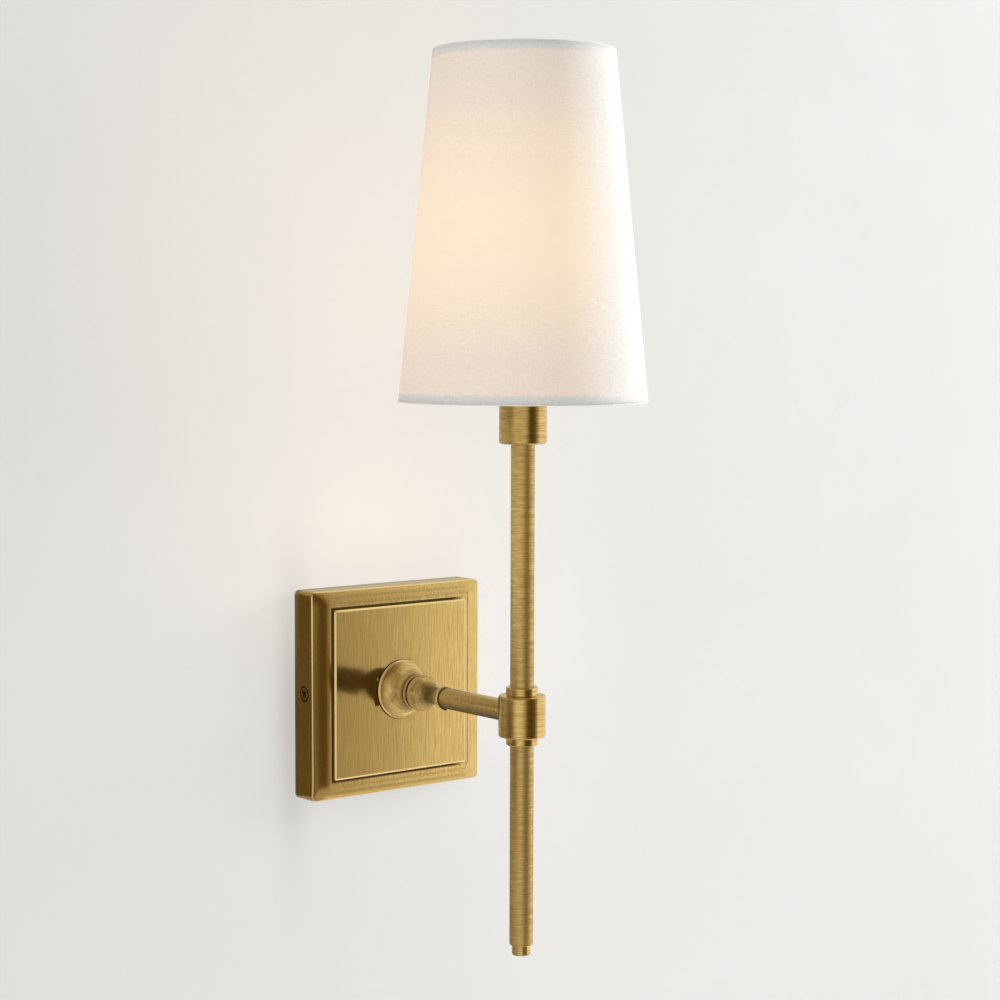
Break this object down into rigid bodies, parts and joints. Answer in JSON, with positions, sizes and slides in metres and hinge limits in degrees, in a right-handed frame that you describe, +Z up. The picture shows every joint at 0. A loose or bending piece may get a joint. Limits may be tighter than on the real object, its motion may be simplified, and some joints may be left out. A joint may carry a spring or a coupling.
{
  "type": "fabric shade wall light",
  "caption": "Square-plate wall light: a level arm from a bell flange carries an upright stem with a tapered cloth shade above and a short drop rod below.",
  "frame": {"origin": "centre of the wall plate's rear face, on the wall", "axes": "+Z up, +Y into the wall, +X to the right for someone who faces the wall; the arm points along -Y"},
  "size_m": [0.1346, 0.1983, 0.4901],
  "materials": {
    "antique_brass": "brushed, satin",
    "screw_brass": "dark satin",
    "plated_steel": "zinc plated",
    "green_screw": "satin",
    "black_plastic": "matt",
    "holder_plastic": "matt moulded",
    "bright_brass": "bright",
    "black_lead": "matt",
    "white_lead": "matt",
    "green_lead": "matt",
    "connector_plastic": "matt",
    "linen": "plain weave with slubs",
    "liner_film": "matt, lets light through",
    "white_wire": "satin",
    "cap_metal": "bright",
    "contact_metal": "solder grey",
    "frosted_glass": "frosted",
    "clear_glass": "clear",
    "filament_wire": "dull"
  },
  "bodies": {
    "fixture": {"mounting_bracket": "plated_steel", "ground_screw": "green_screw", "back_pan": "antique_brass", "face_panel": "antique_brass", "cover_screws": "screw_brass", "arm_flange": "antique_brass", "arm_nipple": "plated_steel", "lock_washer": "plated_steel", "lock_nut": "plated_steel", "wire_bushing": "black_plastic", "arm_knuckle": "antique_brass", "arm_tube": "antique_brass", "coupler_body": "antique_brass", "upper_collar": "antique_brass", "lower_collar": "antique_brass", "upper_stem": "antique_brass", "lower_stem": "antique_brass", "end_tip": "antique_brass", "socket_cup": "antique_brass", "socket_nipple": "plated_steel", "cup_nut": "plated_steel", "socket_base": "holder_plastic", "socket_body": "holder_plastic", "screw_shell": "bright_brass", "centre_contact": "bright_brass", "socket_rivets": "bright_brass", "line_lead": "black_lead", "neutral_lead": "white_lead", "earth_lead": "green_lead", "wire_connectors": "connector_plastic"},
    "shade": {"shade_fabric": "linen", "shade_liner": "liner_film", "top_wire_ring": "white_wire", "bottom_wire_ring": "white_wire", "top_hem": "linen", "bottom_hem": "linen", "shade_spider": "white_wire"},
    "ring": {"shade_ring": "holder_plastic"},
    "bulb": {"bulb_cap": "cap_metal", "bulb_contact": "contact_metal", "bulb_glass": "frosted_glass", "filament_mount": "clear_glass", "filament": "filament_wire"}
  },
  "joints": [
    {"name": "shade_lift", "type": "slide", "parent": "fixture", "child": "shade", "axis": [0, 0, 1], "range_m": [0, 0.12]},
    {"name": "ring_turn", "type": "hinge", "parent": "shade", "child": "ring", "pos_m": [0, -0.131, 0.188], "axis": [0, 0, 1], "range_deg": [0, 720]},
    {"name": "bulb_lift", "type": "slide", "parent": "fixture", "child": "bulb", "axis": [0, 0, 1], "range_m": [0, 0.03]}
  ]
}
